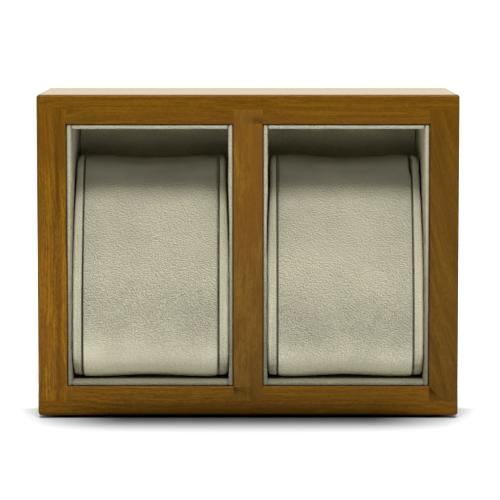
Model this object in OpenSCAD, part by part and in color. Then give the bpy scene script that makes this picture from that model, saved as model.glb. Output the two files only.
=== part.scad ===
// Two-bay watch case: a glued solid wood carcass, two suede-lined bays and
// two loose cushions that each carry one watch.
// Millimetres. +Z is up, the open front faces -Y, and the origin is at the
// centre of the footprint on the surface that the felt feet stand on.

/* [Case] */
// Width of the wooden case
case_w = 144; // [132:1:170]
// Height of the wooden case without its feet
case_h = 110; // [104:1:130]
// Depth of the case from front to back
case_d = 65; // [58:1:80]
// Thickness of the wooden boards
board_t = 10; // [9:0.5:12]
// Radius of the sanded outer edges
edge_r = 1; // [0.5:0.25:2]

/* [Joinery] */
// Depth of the corner rabbets and of the divider's dados
joint_depth = 5; // [4:0.5:6]
// Thickness of the plywood back panel
panel_t = 3; // [2:0.5:4]
// Length of the brads that hold the back panel
brad_l = 13; // [10:1:16]
// Diameter of the brads
brad_d = 1.2; // [1:0.1:1.4]

/* [Feet] */
// Thickness of the felt feet
foot_t = 1; // [0.8:0.1:2]
// Diameter of the felt feet
foot_d = 10; // [8:1:14]
// Distance from the case's edges to the centre of each foot
foot_inset = 9; // [8:1:15]

/* [Lining] */
// Thickness of the lining card
card_t = 1; // [0.8:0.1:1.2]
// Thickness of the suede that wraps the card
suede_t = 0.3; // [0.2:0.05:0.4]
// Free play between the lining and the wood
lining_play = 0.1; // [0.05:0.05:0.3]
// How far the lining's lip sits behind the front of the wood
lip_setback = 0.5; // [0:0.25:2]
// Width of the suede folded back behind the card
suede_return = 10; // [6:1:15]

/* [Cushion] */
// Free play between the cushion and each side of its bay
cushion_play = 0.3; // [0.3:0.1:1]
// Thickness of the two padded cheeks
cheek_t = 3.1; // [2.5:0.1:4]
// Thickness of the padded suede band round the core
band_t = 0.8; // [0.6:0.1:1.2]
// How far the cushion's face sits behind the front of the case
cushion_setback = 3; // [2:0.5:6]
// Height of the cushion
cushion_h = 75.3; // [72:0.1:77]
// Depth of the cushion from face to back
cushion_d = 41.5; // [39:0.5:46]
// Radius of the cushion's bowed face
face_r = 115; // [105:5:140]
// Height of the foremost point of the face above the bay's floor
face_peak = 9.5; // [9.5:0.5:14]

/* [Hidden] */

$fn = 48;
WOOD = "peru";
PLYWOOD = "burlywood";
SUEDE = "wheat";
CARD = "gray";
FOAM = "whitesmoke";
FELT = "dimgray";
STEEL = "silver";
LEFT = -1;
RIGHT = 1;
OUTER = 1;
INNER = -1;
TOP = 1;
FLOOR = -1;
FRONT = -1;
REAR = 1;
eps = 0.01;

// Case levels and planes
front_y = -case_d / 2;
back_y = case_d / 2;
base_z = foot_t;
top_z = base_z + case_h;
panel_front_y = back_y - panel_t;
panel_w = case_w - 2 * joint_depth;
panel_h = case_h - 2 * joint_depth;
panel_z = base_z + joint_depth;

// Bays between the boards
bay_w = (case_w - 3 * board_t) / 2;
bay_h = case_h - 2 * board_t;
bay_x = (board_t + bay_w) / 2;
bay_z = base_z + board_t;

// Lining: play, folded suede, card and facing suede add up to one wall
wall_t = suede_t + card_t + suede_t;
lining_t = lining_play + wall_t;
back_lining_t = card_t + suede_t;
back_lining_y = panel_front_y - back_lining_t;
lip_y = front_y + lip_setback;
wall_d = back_lining_y - lip_y;
inner_w = bay_w - 2 * lining_t;
standing_h = bay_h - 2 * lining_play;
floor_z = bay_z + lining_t;

// Brads through the back panel: [x, z] from the panel's lower middle
brad_edge = joint_depth / 2;
brad_head_r = brad_d * 0.9;
brad_head_t = 0.5;
brad_columns = [-panel_w * 3 / 8, -panel_w / 8, panel_w / 8, panel_w * 3 / 8];
brad_rows = [panel_h * 0.3, panel_h * 0.7];
brad_places = [
    for (x = brad_columns) [x, brad_edge],
    for (x = brad_columns) [x, panel_h - brad_edge],
    for (x = [-panel_w / 2 + brad_edge, 0, panel_w / 2 - brad_edge], z = brad_rows) [x, z]
];

// Cushion section, as tangent arcs seen from the side
cushion_w = inner_w - 2 * cushion_play;
band_w = cushion_w - 2 * cheek_t;
fold_w = 5;
fold_t = 0.5;
cheek_card_t = 1.4;
toe_r = 9;
brow_r = 6;
crown_r = 8;
heel_r = 14;
cushion_bottom = floor_z + cushion_play;
cushion_top = cushion_bottom + cushion_h;
cushion_face_y = front_y + cushion_setback;
cushion_back_y = cushion_face_y + cushion_d;
face_centre = [cushion_face_y + face_r, floor_z + face_peak];
toe_a = asin((face_peak - cushion_play - toe_r) / (face_r - toe_r));
brow_a = asin((cushion_top - brow_r - face_centre.y) / (face_r - brow_r));
toe_centre = face_centre - (face_r - toe_r) * [cos(toe_a), sin(toe_a)];
brow_centre = face_centre + (face_r - brow_r) * [-cos(brow_a), sin(brow_a)];
crown_centre = [cushion_back_y - crown_r, cushion_top - crown_r];
heel_centre = [cushion_back_y - heel_r, cushion_bottom + heel_r];

// Points on an arc round c in n steps, angles measured from the front (-Y)
// towards +Z, without the first and last skip points
function arc(c, r, a0, a1, n, skip = 0) = [
    for (i = [skip:n - skip])
        let (a = a0 + (a1 - a0) * i / n) c + r * [-cos(a), sin(a)]
];

// Side outline of the cushion, shrunk inwards by inset
function cushion_outline(inset) = concat(
    arc(toe_centre, toe_r - inset, -90, -toe_a, 8),
    arc(face_centre, face_r - inset, -toe_a, brow_a, 24, skip = 1),
    arc(brow_centre, brow_r - inset, brow_a, 90, 8),
    arc(crown_centre, crown_r - inset, 90, 180, 8),
    arc(heel_centre, heel_r - inset, 180, 270, 10)
);

// ---------------------------------------------------------------- helpers

// A square with its four corners rounded by true arcs
module rounded_rectangle(w, h, r) {
    square([w - 2 * r, h], center = true);
    square([w, h - 2 * r], center = true);
    for (x = [-1, 1], y = [-1, 1])
        translate([x * (w / 2 - r), y * (h / 2 - r)]) circle(r);
}

// The sanded outer form of the case, which rounds every outer edge
module case_envelope() {
    translate([0, 0, base_z + case_h / 2]) intersection() {
        linear_extrude(case_h, center = true) rounded_rectangle(case_w, case_d, edge_r);
        rotate([90, 0, 0])
            linear_extrude(case_d, center = true) rounded_rectangle(case_w, case_h, edge_r);
        rotate([90, 0, 90])
            linear_extrude(case_w, center = true) rounded_rectangle(case_d, case_h, edge_r);
    }
}

// The recess that the back panel lies in
module panel_space() {
    translate([-panel_w / 2, panel_front_y, panel_z])
        cube([panel_w, panel_t + eps, panel_h]);
}

// Shanks of the brads at the places whose [x, z] passes between lo and hi
module brad_shanks(lo, hi) {
    for (p = brad_places)
        if (p.x > lo.x && p.x < hi.x && p.y > lo.y && p.y < hi.y)
            translate([p.x, back_y, panel_z + p.y]) rotate([90, 0, 0])
                cylinder(r = brad_d / 2, h = brad_l);
}

module brad_heads() {
    for (p = brad_places)
        translate([p.x, back_y, panel_z + p.y]) rotate([90, 0, 0])
            cylinder(r = brad_head_r, h = brad_head_t);
}

// ---------------------------------------------------------------- carcass

// Top or bottom board lying with its joints upwards at z = 0 .. board_t
module long_board() {
    difference() {
        translate([-case_w / 2, front_y, 0]) cube([case_w, case_d, board_t]);
        for (x = [-case_w / 2 - eps, case_w / 2 - board_t])
            translate([x, front_y - eps, board_t - joint_depth])
                cube([board_t + eps, case_d + 2 * eps, joint_depth + eps]);
        translate([-board_t / 2, front_y - eps, board_t - joint_depth])
            cube([board_t, case_d + 2 * eps, joint_depth + eps]);
    }
}

module bottom_board() {
    color(WOOD) difference() {
        intersection() {
            translate([0, 0, base_z]) long_board();
            case_envelope();
        }
        panel_space();
        brad_shanks([-case_w, 0], [case_w, board_t - joint_depth]);
    }
}

module top_board() {
    color(WOOD) difference() {
        intersection() {
            translate([0, 0, top_z]) mirror([0, 0, 1]) long_board();
            case_envelope();
        }
        panel_space();
        brad_shanks([-case_w, panel_h - joint_depth], [case_w, panel_h]);
    }
}

// Upright board whose ends sit in the rabbets of the top and bottom boards
module side_board(side) {
    x0 = side == LEFT ? -case_w / 2 : case_w / 2 - board_t;
    color(WOOD) difference() {
        intersection() {
            translate([x0, front_y, panel_z]) cube([board_t, case_d, panel_h]);
            case_envelope();
        }
        panel_space();
        brad_shanks([x0, board_t], [x0 + board_t, panel_h - board_t]);
    }
}

module centre_divider() {
    color(WOOD) difference() {
        translate([-board_t / 2, front_y, panel_z])
            cube([board_t, case_d - panel_t, panel_h]);
        brad_shanks([-board_t / 2, board_t], [board_t / 2, panel_h - board_t]);
    }
}

module back_panel() {
    color(PLYWOOD) difference() {
        translate([-panel_w / 2, panel_front_y, panel_z]) cube([panel_w, panel_t, panel_h]);
        brad_shanks([-case_w, 0], [case_w, panel_h]);
        brad_heads();
    }
}

module back_panel_brads() {
    color(STEEL) {
        brad_shanks([-case_w, 0], [case_w, panel_h]);
        brad_heads();
    }
}

module foot(x_side, y_side) {
    color(FELT)
        translate([x_side * (case_w / 2 - foot_inset), y_side * (case_d / 2 - foot_inset), 0])
            cylinder(r = foot_d / 2, h = foot_t);
}

// ---------------------------------------------------------------- lining

// Section of one lining wall: x runs across it from the wood, y back from its
// lip to y1. grow is 0 for the card and suede_t for the card with its suede.
module wall_section(grow, y1) {
    nose_r = card_t / 2 + grow;
    translate([wall_t / 2 - nose_r, wall_t / 2]) square([2 * nose_r, y1 - wall_t / 2]);
    translate([wall_t / 2, wall_t / 2]) circle(nose_r);
}

// The card of a wall of the given length, standing along +Z
module wall_card(length) {
    color(CARD) linear_extrude(length) wall_section(0, wall_d);
}

// The suede that faces the card, wraps its lip and is folded back behind it
module wall_suede(length) {
    color(SUEDE) linear_extrude(length) difference() {
        wall_section(suede_t, wall_d);
        wall_section(0, wall_d + eps);
        translate([-eps, suede_return]) square([suede_t + 2 * eps, wall_d]);
    }
}

// Stands a wall against the outer or inner side of a bay
module standing_wall(bay, place) {
    side = bay * place;
    translate([bay * bay_x + side * (bay_w / 2 - lining_play), lip_y, bay_z + lining_play])
        mirror([side > 0 ? 1 : 0, 0, 0])
            children();
}

// Lays a wall under the top or on the floor of a bay
module lying_wall(bay, level) {
    z0 = level == TOP ? bay_z + bay_h - lining_play : bay_z + lining_play;
    translate([bay * bay_x - inner_w / 2, lip_y, z0])
        mirror([0, 0, level == TOP ? 1 : 0]) mirror([1, 0, -1])
            children();
}

module side_card(bay, place) {
    standing_wall(bay, place) wall_card(standing_h);
}

module side_suede(bay, place) {
    standing_wall(bay, place) wall_suede(standing_h);
}

module level_card(bay, level) {
    lying_wall(bay, level) wall_card(inner_w);
}

module level_suede(bay, level) {
    lying_wall(bay, level) wall_suede(inner_w);
}

// A sheet behind the walls, from y to y + t
module back_sheet(bay, y, t) {
    translate([bay * bay_x - bay_w / 2 + lining_play, y, bay_z + lining_play])
        cube([bay_w - 2 * lining_play, t, bay_h - 2 * lining_play]);
}

module back_card(bay) {
    color(CARD) back_sheet(bay, back_lining_y + suede_t, card_t);
}

module back_suede(bay) {
    color(SUEDE) back_sheet(bay, back_lining_y, suede_t);
}

// ---------------------------------------------------------------- cushions

// A slice of the cushion from x0 to x0 + width
module cushion_slice(x0, width, inset) {
    translate([x0, 0, 0]) rotate([90, 0, 90])
        linear_extrude(width) polygon(cushion_outline(inset));
}

// Foam that fills the band and the openings of its folded ends
module cushion_core(bay) {
    color(FOAM) translate([bay * bay_x, 0, 0]) {
        cushion_slice(-band_w / 2 + fold_t, band_w - 2 * fold_t, band_t);
        cushion_slice(-band_w / 2, band_w, fold_w);
    }
}

// Sleeve whose ends are folded in over the ends of the core
module cushion_band(bay) {
    color(SUEDE) translate([bay * bay_x, 0, 0]) difference() {
        cushion_slice(-band_w / 2, band_w, 0);
        cushion_slice(-band_w / 2 + fold_t, band_w - 2 * fold_t, band_t);
        cushion_slice(-band_w / 2 - eps, band_w + 2 * eps, fold_w);
    }
}

// Puts a cheek on the outer or inner end of a bay's cushion
module cheek_place(bay, place) {
    translate([bay * bay_x, 0, 0]) mirror([bay * place < 0 ? 1 : 0, 0, 0])
        children();
}

// Stiffener that lies against the end of the band
module cheek_card(bay, place) {
    color(CARD) cheek_place(bay, place)
        cushion_slice(band_w / 2, cheek_card_t, band_t);
}

// Padded suede pad over the outside and the rim of its stiffener
module cheek_cover(bay, place) {
    color(SUEDE) cheek_place(bay, place) difference() {
        cushion_slice(band_w / 2, cheek_t, 0);
        cushion_slice(band_w / 2 - eps, cheek_card_t + eps, band_t);
    }
}

// ---------------------------------------------------------------- assembly

top_board();
bottom_board();
side_board(LEFT);  // left_board
side_board(RIGHT);  // right_board
centre_divider();
back_panel();
back_panel_brads();
foot(LEFT, FRONT);  // front_left_foot
foot(RIGHT, FRONT);  // front_right_foot
foot(LEFT, REAR);  // rear_left_foot
foot(RIGHT, REAR);  // rear_right_foot
level_card(LEFT, TOP);  // left_bay_top_card
level_suede(LEFT, TOP);  // left_bay_top_suede
level_card(LEFT, FLOOR);  // left_bay_floor_card
level_suede(LEFT, FLOOR);  // left_bay_floor_suede
side_card(LEFT, OUTER);  // left_bay_outer_card
side_suede(LEFT, OUTER);  // left_bay_outer_suede
side_card(LEFT, INNER);  // left_bay_inner_card
side_suede(LEFT, INNER);  // left_bay_inner_suede
back_card(LEFT);  // left_bay_back_card
back_suede(LEFT);  // left_bay_back_suede
level_card(RIGHT, TOP);  // right_bay_top_card
level_suede(RIGHT, TOP);  // right_bay_top_suede
level_card(RIGHT, FLOOR);  // right_bay_floor_card
level_suede(RIGHT, FLOOR);  // right_bay_floor_suede
side_card(RIGHT, OUTER);  // right_bay_outer_card
side_suede(RIGHT, OUTER);  // right_bay_outer_suede
side_card(RIGHT, INNER);  // right_bay_inner_card
side_suede(RIGHT, INNER);  // right_bay_inner_suede
back_card(RIGHT);  // right_bay_back_card
back_suede(RIGHT);  // right_bay_back_suede
cushion_core(LEFT);  // left_cushion_core
cushion_band(LEFT);  // left_cushion_band
cheek_card(LEFT, OUTER);  // left_cushion_outer_cheek_card
cheek_cover(LEFT, OUTER);  // left_cushion_outer_cheek_cover
cheek_card(LEFT, INNER);  // left_cushion_inner_cheek_card
cheek_cover(LEFT, INNER);  // left_cushion_inner_cheek_cover
cushion_core(RIGHT);  // right_cushion_core
cushion_band(RIGHT);  // right_cushion_band
cheek_card(RIGHT, OUTER);  // right_cushion_outer_cheek_card
cheek_cover(RIGHT, OUTER);  // right_cushion_outer_cheek_cover
cheek_card(RIGHT, INNER);  // right_cushion_inner_cheek_card
cheek_cover(RIGHT, INNER);  // right_cushion_inner_cheek_cover
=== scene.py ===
import math

import bmesh
import bpy
import numpy as np
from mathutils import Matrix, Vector, noise


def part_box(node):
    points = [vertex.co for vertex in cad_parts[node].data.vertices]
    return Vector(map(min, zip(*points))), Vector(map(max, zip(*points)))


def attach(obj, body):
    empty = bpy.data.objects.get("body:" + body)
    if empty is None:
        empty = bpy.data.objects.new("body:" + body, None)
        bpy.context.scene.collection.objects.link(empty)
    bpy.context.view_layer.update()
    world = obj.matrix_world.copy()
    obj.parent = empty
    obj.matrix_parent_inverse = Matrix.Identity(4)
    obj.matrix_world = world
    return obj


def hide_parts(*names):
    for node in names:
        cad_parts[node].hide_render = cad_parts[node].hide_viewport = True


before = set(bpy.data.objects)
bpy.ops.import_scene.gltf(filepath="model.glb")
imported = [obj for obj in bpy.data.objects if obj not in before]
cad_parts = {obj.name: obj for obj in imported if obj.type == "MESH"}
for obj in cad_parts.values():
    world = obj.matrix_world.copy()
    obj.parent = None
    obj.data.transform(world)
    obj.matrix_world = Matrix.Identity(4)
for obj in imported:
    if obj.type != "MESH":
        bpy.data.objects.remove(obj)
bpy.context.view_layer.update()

MM = 0.001
SIDES = {"left": -1, "right": 1}

# ------------------------------------------------------------ places in the frame

CASE_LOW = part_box("bottom_board")[0]
CASE_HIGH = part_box("top_board")[1]
PANEL_LOW, PANEL_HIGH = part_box("back_panel")
UPRIGHT_LOW, UPRIGHT_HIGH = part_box("right_board")
DIVIDER_LOW, DIVIDER_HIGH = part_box("centre_divider")
OPENING_LOW_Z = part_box("bottom_board")[1].z
OPENING_HIGH_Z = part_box("top_board")[0].z
FRONT_Y = CASE_LOW.y

# ------------------------------------------------------------ shader helpers


class Shader:
    """A new material, with short calls that add nodes to it."""

    def __init__(self, name):
        self.material = bpy.data.materials.new(name)
        self.material.use_nodes = True
        self.tree = self.material.node_tree
        self.tree.nodes.clear()
        self.bsdf = self.tree.nodes.new("ShaderNodeBsdfPrincipled")
        output = self.tree.nodes.new("ShaderNodeOutputMaterial")
        self.tree.links.new(self.bsdf.outputs[0], output.inputs["Surface"])

    def feed(self, socket, value):
        """Links value if it is a socket, and otherwise sets it."""
        if isinstance(value, bpy.types.NodeSocket):
            self.tree.links.new(value, socket)
        else:
            socket.default_value = value

    def node(self, kind, inputs, **settings):
        """Adds a node, with its properties in settings and its sockets in inputs."""
        made = self.tree.nodes.new("ShaderNode" + kind)
        for key, value in settings.items():
            setattr(made, key, value)
        for key, value in inputs.items():
            self.feed(made.inputs[key], value)
        return made

    def surface(self, **inputs):
        """Sets sockets of the principled shader, with _ for a space in their names."""
        for key, value in inputs.items():
            self.feed(self.bsdf.inputs[key.replace("_", " ")], value)

    def millimetres(self):
        """Places on the piece in the row's frame, in millimetres."""
        place = self.node("TexCoord", {}).outputs["Object"]
        scaled = self.node("VectorMath", {0: place}, operation="SCALE")
        scaled.inputs["Scale"].default_value = 1 / MM
        return scaled.outputs[0]

    def times(self, vector, factors):
        return self.node("VectorMath", {0: vector, 1: factors}, operation="MULTIPLY").outputs[0]

    def turn(self, vector, angles, shift):
        inputs = {"Vector": vector, "Rotation": angles, "Location": shift}
        return self.node("Mapping", inputs).outputs[0]

    def split(self, vector):
        return self.node("SeparateXYZ", {0: vector}).outputs

    def join(self, x, y, z):
        return self.node("CombineXYZ", {0: x, 1: y, 2: z}).outputs[0]

    def noise(self, vector, scale=1.0, detail=2.0, roughness=0.5, distortion=0.0):
        inputs = {"Vector": vector, "Scale": scale, "Detail": detail,
                  "Roughness": roughness, "Distortion": distortion}
        return self.node("TexNoise", inputs).outputs["Fac"]

    def cells(self, vector, scale):
        inputs = {"Vector": vector, "Scale": scale}
        return self.node("TexVoronoi", inputs, feature="SMOOTH_F1").outputs["Distance"]

    def math(self, operation, a, b=0.0, c=0.0):
        return self.node("Math", {0: a, 1: b, 2: c}, operation=operation).outputs[0]

    def ramp(self, value, low, high, out_low=0.0, out_high=1.0):
        """Smoothly maps value from low..high to out_low..out_high."""
        inputs = {"Value": value, "From Min": low, "From Max": high,
                  "To Min": out_low, "To Max": out_high}
        return self.node("MapRange", inputs, interpolation_type="SMOOTHSTEP").outputs["Result"]

    def apart(self, a, b):
        """How far apart two values are."""
        return self.math("ABSOLUTE", self.math("SUBTRACT", a, b))

    def mix(self, share, a, b):
        """Mixes two colours. The node's colour sockets come after its number ones."""
        made = self.tree.nodes.new("ShaderNodeMix")
        made.data_type = "RGBA"
        self.feed(made.inputs["Factor"], share)
        self.feed(made.inputs[6], a)
        self.feed(made.inputs[7], b)
        return made.outputs[2]

    def bump(self, height, distance_mm, strength=1.0):
        inputs = {"Height": height, "Distance": distance_mm * MM, "Strength": strength}
        self.surface(Normal=self.node("Bump", inputs).outputs[0])


def rgb(red, green, blue):
    return (red, green, blue, 1.0)


def shade(colour, share=1.0):
    """A colour for a socket, of which only a share is kept."""
    return rgb(*[share * v for v in colour])


# ------------------------------------------------------------ materials


def wood(name, along, seed, light, dark, stain, lean=0.0, ring=2.4, streak=1.3,
         stretch=0.009, blotch=0.5, stripe=None, painted_foot_shade=False, deepen=(0.0, 0.0)):
    """Satin stained wood. along is the grain's axis and lean tips it in the XZ plane.
    ring is the width of a growth ring in mm, streak the number of streaks per mm, and
    stretch is the same along the grain. blotch is the strength of the stain's clouds,
    and stripe an x in mm of a dark streak. sooty paints shade along the board's foot,
    darkest towards the middle, and deepen is how much darker the stain is at the case's
    foot and at its top."""
    s = Shader(name)
    place = s.millimetres()
    x, y, z = s.split(place)
    from_middle = s.math("ABSOLUTE", x)
    angles = (0.0, (math.pi / 2 if along == "Z" else 0.0) + lean, 0.0)
    grain = s.turn(place, angles, (seed * 37.0, seed * 19.0, seed * 11.0))
    drift = s.noise(s.times(grain, (0.012, 0.05, 0.05)), detail=2)
    a, b, c = s.split(grain)
    sway = s.math("MULTIPLY_ADD", drift, 9.0, -4.5)
    b = s.math("ADD", b, sway)
    c = s.math("ADD", c, sway)
    fibre = s.join(a, b, c)

    streaks = s.noise(s.times(fibre, (stretch, streak, streak)), detail=5, roughness=0.68)
    threads = s.noise(s.times(fibre, (0.06, 4.2, 4.2)), detail=2, roughness=0.6)
    specks = s.noise(s.times(fibre, (0.8, 1.9, 1.9)), detail=1)
    flecks = s.noise(s.times(fibre, (0.22, 3.4, 3.4)), detail=1)
    clouds = s.noise(s.times(fibre, (0.03, 0.1, 0.1)), detail=3, distortion=1.0)
    depth = s.math("MULTIPLY_ADD", b, 0.5, s.math("MULTIPLY", c, 0.86))
    growth = s.ramp(s.math("FRACT", s.math("DIVIDE", depth, ring)), 0.2, 0.95)
    tone = s.math("MULTIPLY_ADD", growth, -0.2, s.ramp(streaks, 0.28, 0.72))
    tone = s.math("ADD", tone, s.ramp(threads, 0.3, 0.7, -0.3, 0.3))
    tone = s.math("ADD", tone, s.ramp(specks, 0.3, 0.7, -0.22, 0.22))

    colour = s.mix(tone, shade(dark), shade(light))
    colour = s.mix(s.ramp(clouds, 0.4, 0.64, 0.0, blotch), colour, shade(stain))
    if stripe is not None:
        off = s.math("MULTIPLY_ADD", drift, 1.4, s.math("SUBTRACT", x, stripe + 0.7))
        streak_share = s.ramp(s.math("ABSOLUTE", off), 0.3, 1.5, 0.5, 0.0)
        colour = s.mix(streak_share, colour, shade(dark, 0.5))
    colour = s.mix(s.ramp(z, 15.0, 95.0, *deepen), colour, shade(dark, 0.3))
    # Painted shade along the board's foot, darkest towards the middle and fading towards the ends.
    if painted_foot_shade:
        foot = s.ramp(z, CASE_LOW.z / MM, CASE_LOW.z / MM + 8.0, 0.64, 0.0)
        ends = s.ramp(from_middle, 44.0, 69.0, 1.0, 0.12)
        colour = s.mix(s.math("MULTIPLY", foot, ends), colour, shade(dark, 0.18))
    edge = s.ramp(from_middle, CASE_HIGH.x / MM - 1.6, CASE_HIGH.x / MM, 0.0, 0.5)
    colour = s.mix(edge, colour, shade(stain, 0.6))
    pits = s.ramp(flecks, 0.6, 0.72)
    colour = s.mix(s.math("MULTIPLY", pits, 0.4), colour, shade(dark, 0.5))

    s.surface(Base_Color=colour, Roughness=s.ramp(streaks, 0.3, 0.7, 0.34, 0.46))
    s.surface(Specular_IOR_Level=0.0, Coat_Weight=0.56, Coat_IOR=1.2, Coat_Roughness=0.14)
    s.bump(s.math("MULTIPLY_ADD", pits, -0.7, s.math("MULTIPLY", threads, 0.5)), 0.035, 0.7)
    return s.material


# The heights in mm between which a cushion's nap is ruffled.
WORN_BELOW = 25.0
CROWN_ABOVE = 82.5


def nap_wear_and_painted_light(s, x, z, patches, grain):
    """How rough and how light the nap is over a cushion's face: smooth on the crown, with
    painted shade there and fainter painted shade over the upper face, ruffled on the face
    with a darker belt low down, pressed smooth and light lower still, and with painted
    light on the toe. The heights are in mm in the row's frame."""
    slant = s.math("MULTIPLY_ADD", patches, 5.0, s.math("MULTIPLY_ADD", x, 0.06, z))
    rough = s.ramp(slant, WORN_BELOW - 6.0, WORN_BELOW + 16.0, 0.2 * grain, grain)
    rough = s.math("MULTIPLY", rough, s.ramp(z, 78.0, CROWN_ABOVE, 1.0, 0.12))
    # Painted shade on the crown, and fainter on the upper face, where the top of the bay shades the
    # cushion.
    light = s.ramp(z, 78.5, CROWN_ABOVE - 0.5, 0.0, -0.25)
    light = s.math("ADD", light, s.ramp(z, 48.0, 66.0, 0.0, -0.09))
    light = s.math("ADD", light, s.ramp(s.apart(slant, WORN_BELOW + 11.0), 0.0, 16.0, -0.13, 0.0))
    light = s.math("ADD", light, s.ramp(slant, WORN_BELOW - 8.0, WORN_BELOW + 10.0, 0.1, 0.0))
    # Painted light on the toe, which faces down towards the floor.
    light = s.math("ADD", light, s.ramp(z, 14.0, 28.0, 0.5, 0.0))
    light = s.math("ADD", light, s.ramp(z, 13.0, 18.5, 0.5, 0.0))
    return rough, light


def suede(name, light, dark, grain=1.0, worn_and_painted_light=False, seams=(), rims=(), grooves=(),
          low_shade=None, sheen=0.3):
    """Brushed beige suede, with painted light and shade on the two sides of each tuft.
    grain is its roughness, and worn gives it the wear of a cushion, with painted shade on
    its crown and painted light on its toe. seams and rims are distances from the case's
    middle, in mm, of seam lines darkened with painted shade and of edges lightened with a
    painted sheen. grooves are ("x" or "z", mm) lines where a lip meets the wood, darkened
    with painted shade. low_shade is how much darker the nap is at the floor of the bay."""
    s = Shader(name)
    place = s.millimetres()
    x, y, z = s.split(place)
    from_middle = s.math("ABSOLUTE", x)
    flat = (1.0, 1.0, 1.3)
    pebble = s.noise(s.times(place, flat), scale=2.2, detail=1)
    lee_place = s.turn(place, (0.0, 0.0, 0.0), (0.12, 0.1, 0.2))
    lee = s.noise(s.times(lee_place, flat), scale=2.2, detail=1)
    nap = s.noise(place, scale=4.5, detail=1)
    relief = s.math("MULTIPLY_ADD", pebble, 0.85, s.math("MULTIPLY", nap, 0.15))
    # Painted light and shade on the tufts: a shifted copy of the pebbles is taken away, so each tuft is
    # drawn lighter on one side and darker on the other.
    tuft_tone_and_painted_shade = s.math("MULTIPLY", s.math("SUBTRACT", pebble, lee), 3.5)
    tuft_tone_and_painted_shade = s.math("ADD", tuft_tone_and_painted_shade, s.math("MULTIPLY_ADD", pebble, 0.5, -0.25))
    patches = s.noise(place, scale=0.07, detail=3, roughness=0.55)

    rough = grain
    gain = s.ramp(patches, 0.36, 0.64, 1.03, 0.95)
    if worn_and_painted_light:
        rough, wear_and_painted_light = nap_wear_and_painted_light(s, x, z, patches, grain)
        gain = s.math("ADD", gain, wear_and_painted_light)
    if low_shade is not None:
        gain = s.math("ADD", gain, s.ramp(z, OPENING_LOW_Z / MM, 80.0, -low_shade, 0.0))
    # Painted sheen: the nap is drawn lighter along the cheeks' rims.
    for rim in rims:
        gain = s.math("ADD", gain, s.ramp(s.apart(from_middle, rim), 0.2, 1.5, 0.4, 0.0))
    # Painted shade in the grooves at the seams.
    for seam in seams:
        seam_shade = s.ramp(s.apart(from_middle, seam), 0.15, 0.55, 0.05, 1.0)
        gain = s.math("MULTIPLY", gain, seam_shade)
    # Painted shade along the lines where a lip meets the wood.
    for across, line in grooves:
        off = s.apart(from_middle if across == "x" else z, line)
        gain = s.math("MULTIPLY", gain, s.ramp(off, 0.2, 0.6, 0.2, 1.0))

    colour = s.mix(s.math("MULTIPLY_ADD", tuft_tone_and_painted_shade, rough, 0.5), shade(dark), shade(light))
    lit = s.node("VectorMath", {0: colour, "Scale": gain}, operation="SCALE").outputs[0]
    s.surface(Base_Color=lit, Roughness=0.92, Specular_IOR_Level=0.1)
    s.surface(Sheen_Weight=sheen, Sheen_Roughness=0.35, Sheen_Tint=rgb(0.92, 0.84, 0.6))
    s.bump(s.math("MULTIPLY", relief, rough), 0.8, 1.0)
    return s.material


def felt(name, colour):
    """Matted fluff."""
    s = Shader(name)
    place = s.millimetres()
    fluff = s.noise(place, scale=2.6, detail=5, roughness=0.75)
    tone = s.mix(s.ramp(fluff, 0.35, 0.65), shade(colour, 0.55), shade(colour))
    s.surface(Base_Color=tone, Roughness=0.97, Specular_IOR_Level=0.1)
    s.surface(Sheen_Weight=0.3, Sheen_Roughness=0.6)
    s.bump(fluff, 0.3)
    return s.material


def plywood(name, light, dark):
    """Rotary-cut veneer with wide wandering cathedral grain."""
    s = Shader(name)
    place = s.millimetres()
    drift = s.noise(s.times(place, (0.02, 0.02, 0.008)), detail=3, roughness=0.55)
    x, y, z = s.split(place)
    rings = s.math("SINE", s.math("MULTIPLY_ADD", drift, 46.0, s.math("MULTIPLY", x, 0.11)))
    fibres = s.noise(s.times(place, (2.6, 2.6, 0.05)), detail=4, roughness=0.65)
    pores = s.noise(s.times(place, (5.0, 5.0, 0.22)), detail=1)
    tone = s.math("ADD", s.ramp(rings, -1.0, 1.0, 0.1, 0.6), s.ramp(fibres, 0.3, 0.7, -0.1, 0.4))
    colour = s.mix(tone, shade(dark), shade(light))
    pits = s.ramp(pores, 0.66, 0.78)
    colour = s.mix(s.math("MULTIPLY", pits, 0.4), colour, shade(dark, 0.4))
    s.surface(Base_Color=colour, Roughness=s.ramp(fibres, 0.3, 0.7, 0.5, 0.68))
    s.surface(Specular_IOR_Level=0.25)
    s.bump(s.math("SUBTRACT", fibres, pits), 0.04, 0.6)
    return s.material


def steel(name):
    """Brushed brad heads with a dull stain."""
    s = Shader(name)
    place = s.millimetres()
    scratches = s.noise(s.times(place, (9.0, 1.0, 1.5)), detail=4, roughness=0.7)
    stain = s.noise(place, scale=1.4, detail=2)
    colour = s.mix(s.ramp(stain, 0.4, 0.7), rgb(0.5, 0.49, 0.46), rgb(0.3, 0.28, 0.25))
    s.surface(Base_Color=colour, Metallic=1.0, Roughness=s.ramp(scratches, 0.3, 0.7, 0.28, 0.5))
    s.bump(scratches, 0.01, 0.5)
    return s.material


def card(name, colour):
    """Grey-brown pressed board with short fibres."""
    s = Shader(name)
    place = s.millimetres()
    fibres = s.noise(s.times(place, (1.0, 1.0, 3.0)), scale=1.6, detail=4, roughness=0.7)
    flecks = s.cells(place, 0.9)
    tone = s.mix(s.ramp(fibres, 0.3, 0.7), shade(colour, 0.7), shade(colour))
    tone = s.mix(s.ramp(flecks, 0.0, 0.14, 0.5, 0.0), tone, shade(colour, 1.3))
    s.surface(Base_Color=tone, Roughness=0.9, Specular_IOR_Level=0.2)
    s.bump(fibres, 0.06, 0.6)
    return s.material


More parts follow.
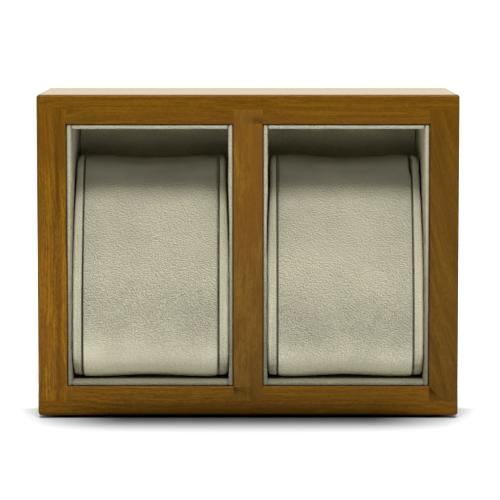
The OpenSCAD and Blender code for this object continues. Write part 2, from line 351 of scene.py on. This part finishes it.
def white_floor_with_painted_shadow(name):
    """The floor: matt paper with a barely visible tooth, and in front of the case a
    painted shadow: a dark pool along its foot inside a wide faint one."""
    s = Shader(name)
    place = s.millimetres()
    x, y, z = s.split(place)
    from_middle = s.math("ABSOLUTE", x)
    ahead = s.math("SUBTRACT", FRONT_Y / MM, y)
    tooth = s.noise(place, scale=0.8, detail=3)
    colour = s.mix(tooth, rgb(0.86, 0.87, 0.94), rgb(0.88, 0.89, 0.97))
    # Painted shadow on the floor in front of the case: a dark pool close to its foot and a wide faint
    # one.
    in_front = s.ramp(ahead, -30.0, -20.0)
    foot = s.math("POWER", s.ramp(ahead, 0.0, 42.0, 1.0, 0.0), 2.0)
    foot = s.math("MULTIPLY", foot, s.ramp(from_middle, 40.0, 70.0, 0.92, 0.15))
    wide = s.ramp(ahead, 0.0, 140.0, 1.0, 0.0)
    wide = s.math("MULTIPLY", wide, s.ramp(from_middle, 64.0, 96.0, 0.4, 0.0))
    for pool in (foot, wide):
        colour = s.mix(s.math("MULTIPLY", pool, in_front), colour, rgb(0.03, 0.028, 0.026))
    s.surface(Base_Color=colour, Roughness=0.85, Specular_IOR_Level=0.1)
    return s.material


HONEY = (0.2, 0.089, 0.003)
UMBER = (0.115, 0.047, 0.0012)
RUSSET = (0.135, 0.05, 0.0015)
GOLD = (0.29, 0.13, 0.002)
OLIVE = (0.175, 0.082, 0.003)
OLIVE_SHADE = (0.1, 0.043, 0.001)
AMBER = (0.208, 0.103, 0.009)
AMBER_SHADE = (0.13, 0.057, 0.004)
AMBER_STAIN = (0.15, 0.057, 0.006)

WOODS = {
    "top_board": wood("wood_top", "X", 1, HONEY, UMBER, RUSSET, ring=1.9, blotch=0.25,
                      deepen=(0.4, 0.4)),
    "bottom_board": wood("wood_bottom", "X", 2, HONEY, UMBER, RUSSET, ring=1.5, blotch=0.3,
                         painted_foot_shade=True),
    "left_board": wood("wood_left", "Z", 3, GOLD, UMBER, RUSSET, stripe=-65.0,
                       deepen=(0.0, 0.42)),
    "right_board": wood("wood_right", "Z", 4, OLIVE, OLIVE_SHADE, RUSSET, lean=0.3, ring=3.4,
                        streak=0.5, stretch=0.03, blotch=0.35, deepen=(0.36, 0.42)),
    "centre_divider": wood("wood_divider", "Z", 5, AMBER, AMBER_SHADE, AMBER_STAIN, ring=7.0,
                           streak=0.35, stretch=0.06, blotch=0.7, deepen=(0.32, 0.24)),
}

# The band's seams, whose grooves get painted shade.
SEAMS = [abs(corner.x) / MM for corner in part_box("right_cushion_band")]
# The cheeks' rims, along which the nap gets a painted sheen.
RIMS = [abs(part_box("right_cushion_inner_cheek_cover")[0].x) / MM,
        abs(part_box("right_cushion_outer_cheek_cover")[1].x) / MM]
# Lines where a lip meets the wood, along which the lining gets painted shade.
GROOVES = [("x", DIVIDER_HIGH.x / MM), ("x", UPRIGHT_LOW.x / MM),
           ("z", OPENING_LOW_Z / MM), ("z", OPENING_HIGH_Z / MM)]
CUSHION_SUEDE = suede("cushion_suede", (0.55, 0.522, 0.392), (0.275, 0.26, 0.19), grain=1.15,
                      worn_and_painted_light=True, seams=SEAMS, sheen=0.2)
CHEEK_SUEDE = suede("cheek_suede", (0.52, 0.495, 0.37), (0.37, 0.35, 0.255), grain=0.7,
                    seams=SEAMS, rims=RIMS, sheen=0.9)
LINING_SUEDE = suede("lining_suede", (0.42, 0.395, 0.285), (0.29, 0.27, 0.185), grain=0.8,
                     grooves=GROOVES, low_shade=0.42)
# Painted light: the backs of the bays get a much lighter copy of the lining suede, standing in for
# light the deep bays lack.
LIGHTENED_BACK_SUEDE = suede("back_suede", (0.8, 0.72, 0.5), (0.6, 0.54, 0.36), grain=0.8)
CARD = card("lining_card", (0.2, 0.17, 0.13))
FELT = felt("foot_felt", (0.045, 0.03, 0.02))
PLYWOOD = plywood("back_plywood", (0.42, 0.23, 0.08), (0.26, 0.12, 0.035))
STEEL = steel("brad_steel")
FLOOR = white_floor_with_painted_shadow("floor_paper")


# ------------------------------------------------------------ mesh helpers


def piece_from(name, bm, material, smooth=True):
    """Makes an object of a bmesh, in the row's frame."""
    bmesh.ops.recalc_face_normals(bm, faces=bm.faces)
    mesh = bpy.data.meshes.new(name)
    bm.to_mesh(mesh)
    bm.free()
    mesh.materials.append(material)
    if smooth:
        mesh.shade_smooth()
    made = bpy.data.objects.new(name, mesh)
    bpy.context.scene.collection.objects.link(made)
    return made


def grid_faces(bm, rings, closed_rings):
    """Joins a list of rings of vertices with quads."""
    for one, two in zip(rings, rings[1:]):
        count = len(one)
        for i in range(count if closed_rings else count - 1):
            j = (i + 1) % count
            bm.faces.new((one[i], one[j], two[j], two[i]))


def coordinates(piece):
    found = np.zeros(len(piece.data.vertices) * 3)
    piece.data.vertices.foreach_get("co", found)
    return found.reshape(-1, 3)


def move_to(piece, places):
    piece.data.vertices.foreach_set("co", places.ravel())
    piece.data.update()


def ripple(place, wavelength, seed):
    """Smooth noise from -1 to 1 with the given wavelength, the same in each run."""
    return noise.noise(Vector(place) / wavelength + Vector((seed * 7.3, seed * 3.1, seed * 5.7)))


def smooth_step(value, low, high):
    """Rises smoothly from 0 at low to 1 at high."""
    share = np.clip((value - low) / (high - low), 0, 1)
    return share * share * (3 - 2 * share)


# ------------------------------------------------------------ boards

OUTER_EDGE_R = 1.0 * MM
OPENING_EDGE_R = 0.35 * MM
SAME = 0.001 * MM


def cell_mesh(xs, ys, zs, filled):
    """The outside of the cells between the planes for which filled(middle) is true."""
    planes = [sorted(xs), sorted(ys), sorted(zs)]
    counts = [len(p) - 1 for p in planes]
    solid = set()
    for index in np.ndindex(*counts):
        middle = [(planes[k][index[k]] + planes[k][index[k] + 1]) / 2 for k in range(3)]
        if filled(*middle):
            solid.add(index)
    bm = bmesh.new()
    corners = {}

    def corner(index):
        if index not in corners:
            corners[index] = bm.verts.new([planes[k][index[k]] for k in range(3)])
        return corners[index]

    for cell in solid:
        for axis in range(3):
            for step in (0, 1):
                beside = list(cell)
                beside[axis] += 2 * step - 1
                if tuple(beside) in solid:
                    continue
                u, v = [k for k in range(3) if k != axis]
                loop = []
                for du, dv in ((0, 0), (1, 0), (1, 1), (0, 1)):
                    at = list(cell)
                    at[axis] += step
                    at[u] += du
                    at[v] += dv
                    loop.append(corner(tuple(at)))
                bm.faces.new(loop)
    return bm


def outer_planes(vert):
    """The outer planes of the case that a vertex lies on."""
    found = set()
    for axis in range(3):
        for side, limit in (("low", CASE_LOW), ("high", CASE_HIGH)):
            if abs(vert.co[axis] - limit[axis]) < SAME:
                found.add((axis, side))
    return found


def is_outer_edge(edge):
    """Where two outer faces of the case meet."""
    one, two = edge.verts
    return len(outer_planes(one) & outer_planes(two)) >= 2


def is_opening_edge(edge):
    """On the front rim of a bay, where the board's edge shows."""
    one, two = (v.co for v in edge.verts)
    if abs(one.y - FRONT_Y) > SAME or abs(two.y - FRONT_Y) > SAME:
        return False
    middle = (one + two) / 2
    inner_x, outer_x = DIVIDER_HIGH.x, UPRIGHT_LOW.x
    off_x = min(abs(abs(middle.x) - inner_x), abs(abs(middle.x) - outer_x))
    off_z = min(abs(middle.z - OPENING_LOW_Z), abs(middle.z - OPENING_HIGH_Z))
    if abs(one.z - two.z) > SAME and off_x < SAME:
        return OPENING_LOW_Z < middle.z < OPENING_HIGH_Z
    level = abs(one.x - two.x) > SAME and off_z < SAME
    return level and inner_x < abs(middle.x) < outer_x


def ease(bm, test, radius, segments):
    """Rounds the corners of a mesh that pass the test."""
    edges = [e for e in bm.edges if len(e.link_faces) == 2 and test(e)
             and e.link_faces[0].normal.dot(e.link_faces[1].normal) < 0.5]
    bmesh.ops.bevel(bm, geom=edges, offset=radius, segments=segments, profile=0.5,
                    affect="EDGES", clamp_overlap=True)


def board(node, xs, ys, zs, filled):
    """A board of the case with sanded edges, standing for its CAD node."""
    bm = cell_mesh(xs, ys, zs, filled)
    bmesh.ops.recalc_face_normals(bm, faces=bm.faces)
    bm.normal_update()
    ease(bm, is_outer_edge, OUTER_EDGE_R, 5)
    bm.normal_update()
    ease(bm, is_opening_edge, OPENING_EDGE_R, 3)
    made = piece_from("wood_" + node, bm, WOODS[node])
    made.data.set_sharp_from_angle(angle=math.radians(35))
    weighted = made.modifiers.new("Weighted normals", "WEIGHTED_NORMAL")
    weighted.keep_sharp = True
    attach(made, "case")
    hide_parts(node)


def make_boards():
    """The five boards, with their rabbets, dados and the recess for the back panel."""
    depth = (CASE_LOW.y, PANEL_LOW.y, CASE_HIGH.y)
    across = (CASE_LOW.x, -UPRIGHT_LOW.x, DIVIDER_LOW.x, DIVIDER_HIGH.x, UPRIGHT_LOW.x,
              CASE_HIGH.x)

    def long_board(x, y, beyond_joint):
        housed = abs(x) > UPRIGHT_LOW.x or abs(x) < DIVIDER_HIGH.x
        return beyond_joint or (y < PANEL_LOW.y and not housed)

    board("top_board", across, depth, (OPENING_HIGH_Z, UPRIGHT_HIGH.z, CASE_HIGH.z),
          lambda x, y, z: long_board(x, y, z > UPRIGHT_HIGH.z))
    board("bottom_board", across, depth, (CASE_LOW.z, UPRIGHT_LOW.z, OPENING_LOW_Z),
          lambda x, y, z: long_board(x, y, z < UPRIGHT_LOW.z))
    levels = (UPRIGHT_LOW.z, OPENING_LOW_Z, OPENING_HIGH_Z, UPRIGHT_HIGH.z)
    for name, side in SIDES.items():
        planes = [side * x for x in (UPRIGHT_LOW.x, PANEL_HIGH.x, CASE_HIGH.x)]
        board(name + "_board", planes, depth, levels,
              lambda x, y, z: y < PANEL_LOW.y or abs(x) > PANEL_HIGH.x)
    board("centre_divider", (DIVIDER_LOW.x, DIVIDER_HIGH.x), depth[:2], levels,
          lambda x, y, z: True)


# ------------------------------------------------------------ lining

NOSE_STEPS = 10
RETURN_DEPTH = 10 * MM
SUEDE_T = 0.3 * MM
LINING_WAVE = 0.1 * MM
PRESSED_IN = 0.28 * MM


def lip_profile(thick, depth):
    """Points across a lining wall, from the end of the folded return, round the lip
    and to the back: (distance from the wood, distance from the lip)."""
    nose = thick / 2
    points = [(0.0, d) for d in np.linspace(RETURN_DEPTH, nose, 6)[:-1]]
    for i in range(NOSE_STEPS + 1):
        a = math.pi * i / NOSE_STEPS
        points.append((nose - nose * math.cos(a), nose - nose * math.sin(a)))
    steps = [nose + (depth - nose) * t * t for t in np.linspace(0, 1, 22)[1:]]
    points += [(thick, d) for d in steps]
    return points


def corner_drop(to_end):
    """How far a lip has rounded off, from 0 to 1, near the end of its wall."""
    to_end = to_end / (1.1 * MM)
    return 1 - math.sqrt(max(0.0, 1 - (1 - to_end) ** 2)) if to_end < 1 else 0.0


def lining_move(place, share, d, seed, drop, pressed):
    """How a point of a wall moves into the bay and back from the lip. share is 0 at the
    wood and 1 at the bay, and d is the distance from the lip."""
    near_lip = max(0.0, 1 - d / (6 * MM))
    wave = ripple(place, 7 * MM, seed) + 0.5 * ripple(place, 2.6 * MM, seed + 1)
    out = LINING_WAVE * wave * (0.35 + 0.65 * near_lip) - 0.45 * MM * drop * near_lip
    if pressed:
        beside_cushion = smooth_step(place.z, 12 * MM, 20 * MM)
        beside_cushion *= 1 - smooth_step(place.z, 66 * MM, 80 * MM)
        out -= PRESSED_IN * beside_cushion
    back = LINING_WAVE * wave * near_lip + 0.9 * MM * drop * near_lip
    return out * share, max(back, -0.12 * MM)


def lining_wall(node, into, along, seed, tucked):
    """The suede of one wall. into points from the wood into the bay and along runs
    down the wall's length. A tucked wall's lip rounds off at both ends, and the others
    are pressed back a little beside the cushion."""
    low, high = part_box(node)
    k, m = [max(range(3), key=lambda i: abs(v[i])) for v in (into, along)]
    thick, length = high[k] - low[k], high[m] - low[m]
    start = Vector(low)
    start[k] = low[k] if into[k] > 0 else high[k]
    profile = lip_profile(thick, high.y - low.y)
    bm = bmesh.new()
    rings = []
    for s in np.linspace(0, length, 110):
        drop = corner_drop(min(s, length - s)) if tucked else 0.0
        ring = []
        for t, d in profile:
            place = start + Vector(into) * t + Vector((0, d, 0)) + Vector(along) * s
            out, back = lining_move(place, t / thick, d, seed, drop, not tucked)
            ring.append(bm.verts.new(place + Vector(into) * out + Vector((0, back, 0))))
        rings.append(ring)
    grid_faces(bm, rings, closed_rings=False)
    made = piece_from("suede_" + node.replace("_suede", ""), bm, LINING_SUEDE)
    centre = (Vector(low) + Vector(high)) / 2
    bay_side = centre + Vector(into) * thick
    face = min(made.data.polygons, key=lambda f: (f.center - bay_side).length)
    if face.normal.dot(Vector(into)) < 0:
        made.data.flip_normals()
    give_thickness(made)
    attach(made, "case")
    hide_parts(node)


def give_thickness(made):
    """Gives a sheet of suede its thickness, behind the side that shows."""
    skin = made.modifiers.new("Suede thickness", "SOLIDIFY")
    skin.thickness = SUEDE_T
    skin.offset = -1


def back_lining(bay, seed):
    """The suede on the back of a bay, slightly uneven over its card."""
    node = f"{bay}_bay_back_suede"
    low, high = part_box(node)
    bm = bmesh.new()
    rings = []
    for x in np.linspace(low.x, high.x, 30):
        ring = []
        for z in np.linspace(low.z, high.z, 46):
            rim = min(x - low.x, high.x - x, z - low.z, high.z - z) / (3 * MM)
            swell = (0.5 + 0.5 * ripple((x, 0, z), 14 * MM, seed)) * min(1.0, rim)
            ring.append(bm.verts.new((x, low.y - 0.12 * MM * swell, z)))
        rings.append(ring)
    grid_faces(bm, rings, closed_rings=False)
    made = piece_from(f"suede_{bay}_bay_back", bm, LIGHTENED_BACK_SUEDE)
    if made.data.polygons[0].normal.y > 0:
        made.data.flip_normals()
    give_thickness(made)
    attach(made, "case")
    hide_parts(node)


def make_linings():
    """The five walls of each bay."""
    up, down, right = Vector((0, 0, 1)), Vector((0, 0, -1)), Vector((1, 0, 0))
    for number, (bay, side) in enumerate(SIDES.items()):
        outwards = Vector((side, 0, 0))
        seed = 11 + 10 * number
        lining_wall(f"{bay}_bay_outer_suede", -outwards, up, seed, tucked=False)
        lining_wall(f"{bay}_bay_inner_suede", outwards, up, seed + 2, tucked=False)
        lining_wall(f"{bay}_bay_top_suede", down, right, seed + 4, tucked=True)
        lining_wall(f"{bay}_bay_floor_suede", up, right, seed + 6, tucked=True)
        back_lining(bay, seed + 8)


# ------------------------------------------------------------ cushions

# The radii of a cushion's side outline, and the height on its face that is furthest
# forward, above its foot.
FACE_R = 115 * MM
FACE_PEAK = 9.2 * MM
TOE_R = 9 * MM
BROW_R = 6 * MM
CROWN_R = 8 * MM
HEEL_R = 14 * MM

# How the soft skins leave that outline: the roundings beside the seams and at the
# cheeks' rims, the waists in the middle of the band's top, foot and face, how far it is
# set in beside the divider at the top, the cheeks' bulge, and the left cushion's lean.
BAND_SEAM_R = 0.8 * MM
CHEEK_SEAM_R = 0.75 * MM
CHEEK_RIM_R = 1.25 * MM
TOP_WAIST = 1.15 * MM
FOOT_WAIST = 1.0 * MM
FACE_WAIST = 0.35 * MM
TOP_SET_IN = 0.35 * MM
CHEEK_BULGE = 0.33 * MM
CHEEK_SLIMMING = {"outer": 0.45 * MM, "inner": 0.9 * MM}
LEFT_LEAN = 0.35 * MM
AROUND = 150


class Outline:
    """The side outline of a cushion, as tangent arcs, worked out from its CAD box."""

    def __init__(self, node):
        low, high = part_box(node)
        face_y, face_z = low.y + FACE_R, low.z + FACE_PEAK
        toe_a = math.asin((FACE_PEAK - TOE_R) / (FACE_R - TOE_R))
        brow_a = math.asin((high.z - BROW_R - face_z) / (FACE_R - BROW_R))
        toe = (face_y - (FACE_R - TOE_R) * math.cos(toe_a), low.z + TOE_R)
        brow = (face_y - (FACE_R - BROW_R) * math.cos(brow_a), high.z - BROW_R)
        self.arcs = [(toe, TOE_R, -math.pi / 2, -toe_a),
                     ((face_y, face_z), FACE_R, -toe_a, brow_a),
                     (brow, BROW_R, brow_a, math.pi / 2),
                     ((high.y - CROWN_R, high.z - CROWN_R), CROWN_R, math.pi / 2, math.pi),
                     ((high.y - HEEL_R, low.z + HEEL_R), HEEL_R, math.pi, 1.5 * math.pi)]

    def points(self, inset, count):
        """count points evenly round the outline, shrunk inwards by inset."""
        dense = []
        for (y, z), radius, a0, a1 in self.arcs:
            for a in np.linspace(a0, a1, 60):
                r = radius - inset
                dense.append((y - r * math.cos(a), z + r * math.sin(a)))
        dense.append(dense[0])
        path = np.array(dense)
        run = np.concatenate([[0], np.cumsum(np.linalg.norm(np.diff(path, axis=0), axis=1))])
        at = np.linspace(0, run[-1], count, endpoint=False)
        return np.stack([np.interp(at, run, path[:, k]) for k in range(2)], axis=1)


def lofted(name, outline, sections, material):
    """A closed form through sections of (x, inset), with a ladder of quads on its ends."""
    bm = bmesh.new()
    rings = []
    for x, inset in sections:
        rings.append([bm.verts.new((x, y, z)) for y, z in outline.points(inset, AROUND)])
    grid_faces(bm, rings, closed_rings=True)
    for ring in (rings[0], rings[-1]):
        for i in range(AROUND // 2 - 1):
            bm.faces.new((ring[i], ring[i + 1], ring[-2 - i], ring[-1 - i]))
    return piece_from(name, bm, material)


def rounded_sections(x0, x1, edge0, edge1, spacing, end_inset):
    """Sections from x0 to x1 whose two rims are quarter rounds of edge0 and edge1, and
    whose flat ends run inwards by end_inset."""
    def quarter(edge):
        return [(edge * math.sin(a), edge * (1 - math.cos(a)))
                for a in np.linspace(0, math.pi / 2, 5)]

    start = [(x0 + edge0 - dx, inset) for dx, inset in quarter(edge0)][::-1]
    end = [(x1 - edge1 + dx, inset) for dx, inset in quarter(edge1)]
    inner = max(1, round((x1 - x0 - edge0 - edge1) / spacing))
    middle = [(x, 0.0) for x in np.linspace(x0 + edge0, x1 - edge1, inner + 1)[1:-1]]
    inward = [(e - 1) * end_inset / 3 for e in (2, 3, 4)]
    caps0 = [(x0, edge0 + e) for e in reversed(inward)]
    caps1 = [(x1, edge1 + e) for e in inward]
    return caps0 + start + middle + end + caps1


def puff(piece, held, cap):
    """Swells a closed skin by cloth simulation while the held points stay, and moves
    no point further than cap. It runs at ten times the size, where cloth is steady."""
    size = 10.0
    rest = coordinates(piece)
    move_to(piece, rest * size)
    group = piece.vertex_groups.new(name="held")
    group.add([int(i) for i in np.nonzero(held(rest))[0]], 1.0, "REPLACE")
    cloth = piece.modifiers.new("Cloth", "CLOTH")
    settings = cloth.settings
    settings.quality = 5
    settings.use_pressure = True
    settings.uniform_pressure_force = 2.0
    settings.vertex_group_mass = "held"
    settings.effector_weights.gravity = 0
    settings.tension_stiffness = 25
    settings.compression_stiffness = 25
    settings.bending_stiffness = 0.8
    cloth.point_cache.frame_start = 1
    cloth.point_cache.frame_end = 20
    for step in range(1, 21):
        bpy.context.scene.frame_set(step)
    seen = piece.evaluated_get(bpy.context.evaluated_depsgraph_get())
    swollen = np.zeros(len(rest) * 3)
    seen.data.vertices.foreach_get("co", swollen)
    piece.modifiers.remove(cloth)
    bpy.context.scene.frame_set(1)
    move = swollen.reshape(-1, 3) / size - rest
    length = np.linalg.norm(move, axis=1, keepdims=True)
    move_to(piece, rest + move * np.minimum(1.0, cap / np.maximum(length, 1e-9)))


def finish_pad(piece, body, *nodes):
    """Smooths a pad and says what it rides on and stands for."""
    piece.vertex_groups.clear()
    finer = piece.modifiers.new("Finer", "SUBSURF")
    finer.levels = finer.render_levels = 1
    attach(piece, body)
    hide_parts(*nodes)


def leaning(z):
    """How much of its lean the left cushion has at a height."""
    return 1 - smooth_step(z, 40 * MM, 80 * MM)


def make_band(bay, seed):
    """The suede band over its foam: held at both seams, drawn in along the middle of
    the top and of the bottom edge, and soft at the seams."""
    node = f"{bay}_cushion_band"
    low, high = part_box(node)
    sections = rounded_sections(low.x, high.x, BAND_SEAM_R, BAND_SEAM_R, 1.35 * MM, 4 * MM)
    band = lofted(f"{bay}_cushion_band_pad", Outline(node), sections, CUSHION_SUEDE)
    puff(band, lambda p: np.minimum(p[:, 0] - low.x, high.x - p[:, 0]) < 0.9 * MM, cap=0.35 * MM)
    places = coordinates(band)
    x, y, z = places.T
    middle, half = (low.x + high.x) / 2, (high.x - low.x) / 2
    across = np.abs(x - middle) / half
    waist = 1 - smooth_step(across, 0.0, 0.95)
    top = smooth_step(z, high.z - 14 * MM, high.z)
    foot = 1 - smooth_step(z, low.z, low.z + 5 * MM)
    z = z - TOP_WAIST * waist * top + FOOT_WAIST * waist * foot

    front = (1 - smooth_step(y, low.y, low.y + 20 * MM)) * (1 - foot)
    waves = [ripple(p, 16 * MM, seed) + 0.4 * ripple(p, 6 * MM, seed + 1) for p in places]
    inside_seams = 1 - smooth_step(across, 0.9, 1.0)
    y = y + (FACE_WAIST * waist + 0.12 * MM * np.array(waves) * inside_seams) * front
    z = z + 0.3 * MM * smooth_step(across, 0.93, 1.0) * foot
    by_divider = smooth_step((x - middle) * -SIDES[bay], 0.0, half)
    x = x + TOP_SET_IN * SIDES[bay] * by_divider * smooth_step(z, low.z + 30 * MM, high.z)
    if bay == "left":
        x = x - LEFT_LEAN * leaning(z)
    else:
        x, y = kinked(x, y, z, low, high)
    move_to(band, np.stack([x, y, z], axis=1))
    finish_pad(band, f"{bay}_cushion", node, f"{bay}_cushion_core")


def kinked(x, y, z, low, high):
    """Slips the top of the right band's outer seam inwards, with a small tuck below."""
    kink_z = high.z - 7 * MM
    slip = smooth_step(z, kink_z, kink_z + 2 * MM) * smooth_step(x, high.x - 4 * MM, high.x)
    x = x - 0.8 * MM * slip
    tuck = np.exp(-((z - kink_z) / (0.9 * MM)) ** 2) * smooth_step(x, high.x - 3 * MM, high.x)
    on_face = 1 - smooth_step(y, low.y + 25 * MM, low.y + 35 * MM)
    return x, y - 0.45 * MM * tuck * on_face


def make_cheek(bay, place, seed):
    """One padded cheek, with a full round rim, at an end of the cushion. It bulges low
    down and tapers to the top."""
    node = f"{bay}_cushion_{place}_cheek_cover"
    low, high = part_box(node)
    seam_is_low = abs(low.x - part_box(f"{bay}_cushion_band")[1].x) < MM
    rounds = (CHEEK_SEAM_R, CHEEK_RIM_R) if seam_is_low else (CHEEK_RIM_R, CHEEK_SEAM_R)
    sections = rounded_sections(low.x, high.x, *rounds, 0.4 * MM, 4 * MM)
    cheek = lofted(f"{bay}_cushion_{place}_cheek_pad", Outline(node), sections, CHEEK_SUEDE)
    seam_x = low.x if seam_is_low else high.x
    out = 1 if seam_is_low else -1
    puff(cheek, lambda p: np.abs(p[:, 0] - seam_x) < 0.35 * MM, cap=0.12 * MM)

    places = coordinates(cheek)
    waves = [ripple(p, 12 * MM, seed) + 0.5 * ripple(p, 4 * MM, seed + 1) for p in places]
    away = places[:, 1:] - np.array([(low.y + high.y) / 2, (low.z + high.z) / 2])
    away /= np.linalg.norm(away, axis=1, keepdims=True)
    places[:, 1:] += away * (0.14 * MM * np.array(waves)[:, None] - 0.15 * MM)
    places[:, 2] += 0.35 * MM * (1 - smooth_step(places[:, 2], low.z, low.z + 6 * MM))

    outside = np.abs(places[:, 0] - seam_x) / (high.x - low.x)
    taper = smooth_step(places[:, 2], low.z + 35 * MM, high.z)
    full = (1 - taper) * smooth_step(places[:, 2], low.z, low.z + 12 * MM)
    places[:, 0] += out * outside * (CHEEK_BULGE * full - CHEEK_SLIMMING[place] * taper)
    if place == "inner":
        places[:, 0] -= out * TOP_SET_IN * (1 - outside) * taper
    if bay == "left":
        places[:, 0] -= LEFT_LEAN * (1 - outside) * leaning(places[:, 2])
    move_to(cheek, places)
    finish_pad(cheek, f"{bay}_cushion", node, f"{bay}_cushion_{place}_cheek_card")


def make_cushions():
    """A band and two cheeks for each bay."""
    for number, bay in enumerate(SIDES):
        make_band(bay, 40 + 10 * number)
        make_cheek(bay, "outer", 43 + 10 * number)
        make_cheek(bay, "inner", 46 + 10 * number)


# ------------------------------------------------------------ carried-over CAD nodes


def dress_cad_nodes():
    """Materials and, on the small hard pieces, eased edges for the CAD nodes kept."""
    for name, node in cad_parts.items():
        if node.hide_render:
            continue
        if name.endswith("_foot"):
            material, easing = FELT, 0.25
        elif name == "back_panel":
            material, easing = PLYWOOD, 0.2
        elif name == "back_panel_brads":
            material, easing = STEEL, 0.12
        else:
            material, easing = CARD, 0.1
        node.data.materials.clear()
        node.data.materials.append(material)
        round_over = node.modifiers.new("Eased edges", "BEVEL")
        round_over.width = easing * MM
        round_over.segments = 2
        round_over.limit_method = "ANGLE"
        round_over.angle_limit = math.radians(50)


# ------------------------------------------------------------ studio


def make_floor():
    """A wide disc, whose edge lies beyond what the camera sees."""
    bm = bmesh.new()
    bmesh.ops.create_circle(bm, cap_ends=True, segments=96, radius=60.0)
    floor = piece_from("studio_floor", bm, FLOOR, smooth=False)


def softbox(name, place, target, width, height, watts):
    light = bpy.data.lights.new(name, "AREA")
    light.shape = "RECTANGLE"
    light.size = width
    light.size_y = height
    light.energy = watts
    lamp = bpy.data.objects.new(name, light)
    lamp.location = place
    lamp.rotation_euler = (Vector(target) - Vector(place)).to_track_quat("-Z", "Y").to_euler()
    bpy.context.scene.collection.objects.link(lamp)


def make_world():
    """A white studio: brightest behind the case and overhead, softer in front."""
    world = bpy.data.worlds.new("white studio")
    bpy.context.scene.world = world
    world.use_nodes = True
    tree = world.node_tree
    background = tree.nodes["Background"]
    background.inputs["Color"].default_value = rgb(1.0, 0.995, 0.84)
    split = tree.nodes.new("ShaderNodeSeparateXYZ")
    tree.links.new(tree.nodes.new("ShaderNodeTexCoord").outputs["Generated"], split.inputs[0])
    shares = []
    for axis, low, high, least, most in (("Y", -0.4, 0.5, 0.08, 1.7), ("Z", 0.5, 1.0, 0.0, 0.9)):
        share = tree.nodes.new("ShaderNodeMapRange")
        share.interpolation_type = "SMOOTHSTEP"
        tree.links.new(split.outputs[axis], share.inputs["Value"])
        for name, value in (("From Min", low), ("From Max", high), ("To Min", least), ("To Max", most)):
            share.inputs[name].default_value = value
        shares.append(share.outputs["Result"])
    total = tree.nodes.new("ShaderNodeMath")
    tree.links.new(shares[0], total.inputs[0])
    tree.links.new(shares[1], total.inputs[1])
    tree.links.new(total.outputs[0], background.inputs["Strength"])


def make_camera():
    """A long lens about a metre in front, a little above the top of the case."""
    lens = bpy.data.cameras.new("camera")
    lens.lens = 210.7
    lens.sensor_width = 36
    lens.clip_start = 0.05
    lens.clip_end = 200
    camera = bpy.data.objects.new("camera", lens)
    camera.location = (-0.5 * MM, FRONT_Y - 0.995, 149.4 * MM)
    target = Vector((0.67 * MM, FRONT_Y, 58 * MM))
    camera.rotation_mode = "QUATERNION"
    camera.rotation_quaternion = (target - camera.location).to_track_quat("-Z", "Y")
    bpy.context.scene.collection.objects.link(camera)
    bpy.context.scene.camera = camera


make_camera()
make_world()
make_floor()
softbox("key", (0.0, -0.67, 1.06), (0.0, 0.0, 0.06), width=0.6, height=0.24, watts=15.0)
softbox("top", (0.0, 0.3, 1.3), (0.0, 0.0, 0.05), width=0.8, height=0.5, watts=8.0)
make_boards()
make_linings()
make_cushions()
dress_cad_nodes()
bpy.context.scene.view_settings.view_transform = "Standard"
